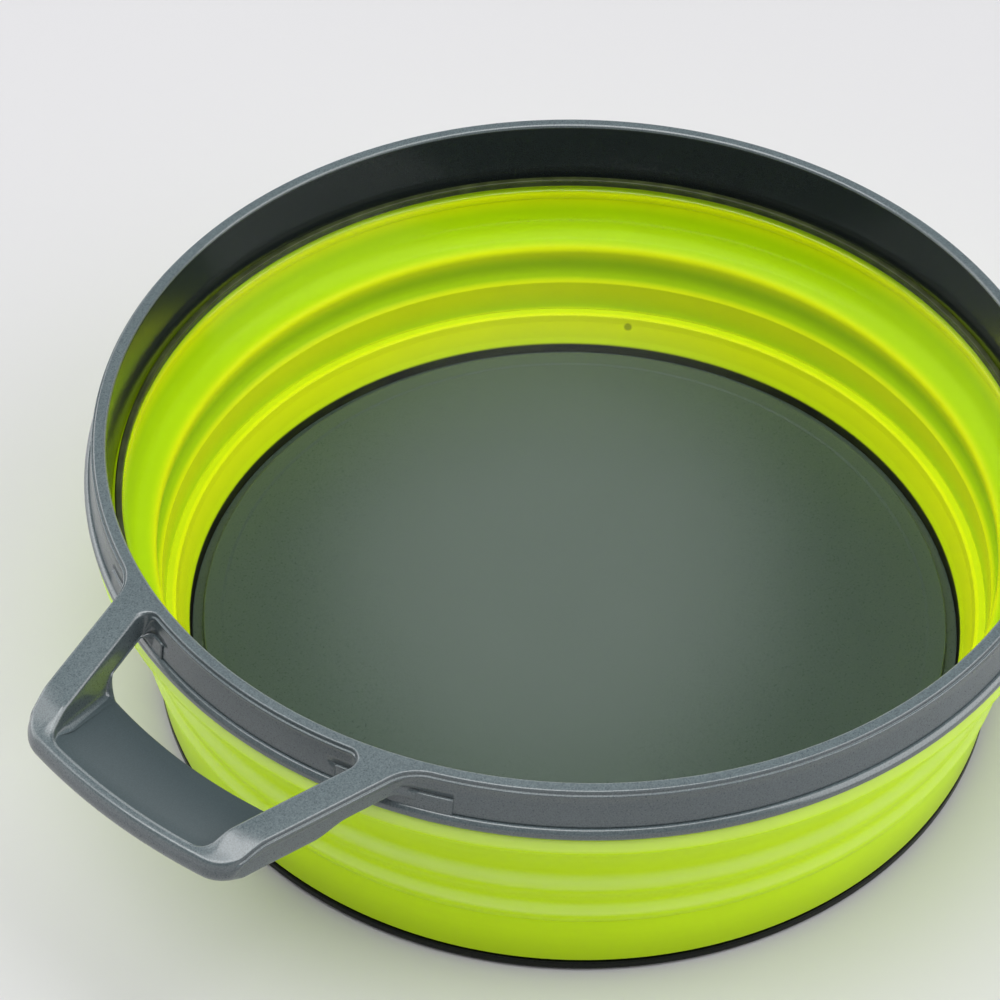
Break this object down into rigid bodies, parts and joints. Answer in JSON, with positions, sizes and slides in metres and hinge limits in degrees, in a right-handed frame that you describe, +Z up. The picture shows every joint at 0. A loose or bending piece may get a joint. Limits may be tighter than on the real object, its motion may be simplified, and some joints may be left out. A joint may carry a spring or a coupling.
{
  "type": "collapsible bowl with lid",
  "caption": "Round collapsible bowl: a stiff rim with a loop handle, a soft banded wall that folds down, a hard floor and foot, and a clear drop-in lid.",
  "frame": {"origin": "on the bowl's axis, at the underside of the foot plate", "axes": "+X along the handle, +Y across it, +Z up the bowl's axis"},
  "size_m": [0.1559, 0.1348, 0.0435],
  "materials": {
    "rim_nylon": "dark grey moulded nylon with a fine grain and a satin sheen",
    "wall_silicone": "lime green silicone, smooth and slightly glossy",
    "floor_nylon": "grey-green moulded nylon, satin",
    "foot_nylon": "near-black moulded nylon",
    "lid_gasket": "dark olive seal",
    "lid_clear": "clear polished plastic"
  },
  "bodies": {
    "base": {"foot_plate": "foot_nylon", "floor_pan": "floor_nylon", "wall_base_band": "wall_silicone"},
    "lower_band": {"wall_lower_band": "wall_silicone"},
    "upper_band": {"wall_upper_band": "wall_silicone"},
    "rim": {"wall_collar_band": "wall_silicone", "retainer_ring": "rim_nylon", "rim_frame": "rim_nylon", "handle_loop": "rim_nylon"},
    "lid": {"lid_gasket": "lid_gasket", "lid_panel": "lid_clear"}
  },
  "joints": [
    {"name": "collapse", "type": "slide", "parent": "base", "child": "rim", "axis": [0, 0, -1], "range_m": [0, 0.016]},
    {"name": "fold_lower", "type": "slide", "parent": "base", "child": "lower_band", "axis": [0, 0, -1], "range_m": [0, 0.0037]},
    {"name": "fold_upper", "type": "slide", "parent": "base", "child": "upper_band", "axis": [0, 0, -1], "range_m": [0, 0.0085]},
    {"name": "lid_lift", "type": "slide", "parent": "rim", "child": "lid", "axis": [0, 0, 1], "range_m": [0, 0.06]}
  ],
  "couplings": [
    {"joint": "fold_lower", "follows": "collapse", "ratio": 0.23},
    {"joint": "fold_upper", "follows": "collapse", "ratio": 0.53}
  ]
}
